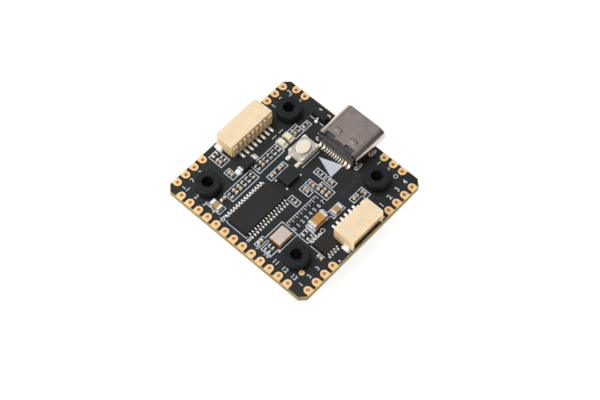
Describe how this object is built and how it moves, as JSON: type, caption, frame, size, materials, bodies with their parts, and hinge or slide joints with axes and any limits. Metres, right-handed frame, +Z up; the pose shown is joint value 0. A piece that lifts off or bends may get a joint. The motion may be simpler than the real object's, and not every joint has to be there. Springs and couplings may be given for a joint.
{
  "type": "flight controller board",
  "caption": "Flight controller board on soft mounts, with a USB type C port, side-entry wire sockets, plated edge pads and a sprung boot button.",
  "frame": {"origin": "centre of the square mounting pattern, on the plane of the grommets' undersides", "axes": "+Z up through the board, +Y along the printed forward arrow, +X towards the USB port"},
  "size_m": [0.0318, 0.031, 0.01],
  "materials": {
    "board_laminate": "black solder mask over woven glass laminate, olive cut edges",
    "gold_plating": "satin gold plating",
    "silicone": "matte black silicone",
    "shell_steel": "satin nickel-plated steel",
    "port_plastic": "dark grey moulded plastic",
    "contact_metal": "gold-plated contact metal",
    "socket_plastic": "cream moulded plastic",
    "tin_plate": "bright tinned metal",
    "button_plastic": "cream moulded plastic",
    "cover_steel": "pressed steel cover",
    "dome_steel": "spring steel",
    "chip_resin": "matte black moulding resin",
    "lead_metal": "matte tinned leads",
    "tray_ceramic": "fired ceramic with a gold seam ring",
    "lid_metal": "satin plated lid",
    "resistor_ceramic": "white alumina",
    "resistor_glass": "black glass coat",
    "capacitor_ceramic": "tan ceramic",
    "bead_ceramic": "reddish ceramic",
    "bulk_ceramic": "ochre ceramic",
    "light_substrate": "pale laminate",
    "light_lens": "cloudy yellow resin",
    "core_resin": "moulded iron powder",
    "can_metal": "plated metal can"
  },
  "bodies": {
    "board": {"barometer_base": "tray_ceramic", "barometer_can": "can_metal", "bulk_capacitor_body": "bulk_ceramic", "bulk_capacitor_ends": "tin_plate", "button_base": "button_plastic", "button_cover": "cover_steel", "button_dome": "dome_steel", "button_terminals": "tin_plate", "capacitor_bodies": "capacitor_ceramic", "capacitor_ends": "tin_plate", "circuit_board": "board_laminate", "diode_body": "chip_resin", "diode_tabs": "lead_metal", "display_chip_body": "chip_resin", "display_chip_leads": "lead_metal", "display_crystal_base": "tray_ceramic", "display_crystal_lid": "lid_metal", "driver_chip_body": "chip_resin", "driver_chip_leads": "lead_metal", "ferrite_bead": "bead_ceramic", "filter_capacitor_bodies": "capacitor_ceramic", "filter_capacitor_ends": "tin_plate", "flash_chip_body": "chip_resin", "flash_chip_leads": "lead_metal", "front_pads": "gold_plating", "grommet_front_left": "silicone", "grommet_front_right": "silicone", "grommet_rear_left": "silicone", "grommet_rear_right": "silicone", "light_bases": "light_substrate", "light_ends": "tin_plate", "light_lenses": "light_lens", "motion_sensor": "chip_resin", "motor_socket_contacts": "tin_plate", "motor_socket_housing": "socket_plastic", "motor_socket_tabs": "tin_plate", "power_inductor_core": "core_resin", "power_inductor_ends": "tin_plate", "processor_body": "chip_resin", "processor_crystal_base": "tray_ceramic", "processor_crystal_lid": "lid_metal", "processor_leads": "lead_metal", "rear_pads": "gold_plating", "regulator_body": "chip_resin", "regulator_leads": "lead_metal", "resistor_bodies": "resistor_ceramic", "resistor_coats": "resistor_glass", "resistor_ends": "tin_plate", "side_pads": "gold_plating", "test_pad": "gold_plating", "transistor_body": "chip_resin", "transistor_leads": "lead_metal", "usb_anchor_pads": "gold_plating", "usb_contacts": "contact_metal", "usb_insulator": "port_plastic", "usb_shell": "shell_steel", "video_socket_contacts": "tin_plate", "video_socket_housing": "socket_plastic", "video_socket_tabs": "tin_plate"},
    "plunger": {"button_plunger": "button_plastic"}
  },
  "joints": [
    {"name": "button_press", "type": "slide", "parent": "board", "child": "plunger", "axis": [0, 0, -1], "range_m": [0, 0.00025], "stiffness_N_per_m": 4000, "deforming": ["button_dome"]}
  ]
}
